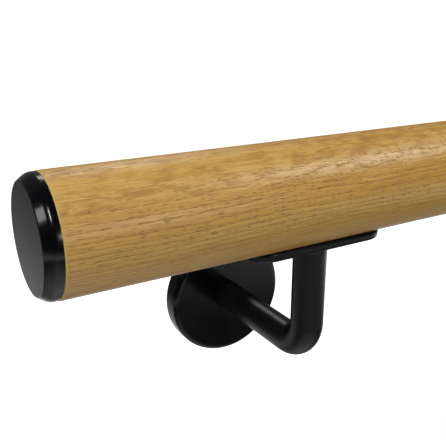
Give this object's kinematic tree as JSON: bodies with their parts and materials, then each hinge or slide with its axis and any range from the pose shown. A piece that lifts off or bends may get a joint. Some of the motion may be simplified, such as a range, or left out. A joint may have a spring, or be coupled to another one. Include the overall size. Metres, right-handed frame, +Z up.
{
  "type": "stair handrail length",
  "caption": "Round oak stair handrail length with black bevelled end caps, carried on black bent-bar wall brackets with round cover roses.",
  "frame": {"origin": "centre of the bounding box, on the floor that the length lies on", "axes": "+X along the rail towards the end seen in the picture, +Y from the rail towards the cover roses, +Z up from the floor"},
  "size_m": [1.2114, 0.144, 0.0743],
  "materials": {
    "oak": "satin lacquer",
    "black_cap": "satin black",
    "black_steel": "satin black powder coat",
    "black_screw": "black zinc"
  },
  "bodies": {
    "root": {"oak_rail": "oak", "end_cap_1": "black_cap", "saddle_plate_1": "black_steel", "saddle_screw_1a": "black_screw", "saddle_screw_1b": "black_screw", "bent_arm_1": "black_steel", "wall_plate_1": "black_steel", "cover_rose_1": "black_steel", "end_cap_2": "black_cap", "saddle_plate_2": "black_steel", "saddle_screw_2a": "black_screw", "saddle_screw_2b": "black_screw", "bent_arm_2": "black_steel", "wall_plate_2": "black_steel", "cover_rose_2": "black_steel"}
  },
  "joints": []
}
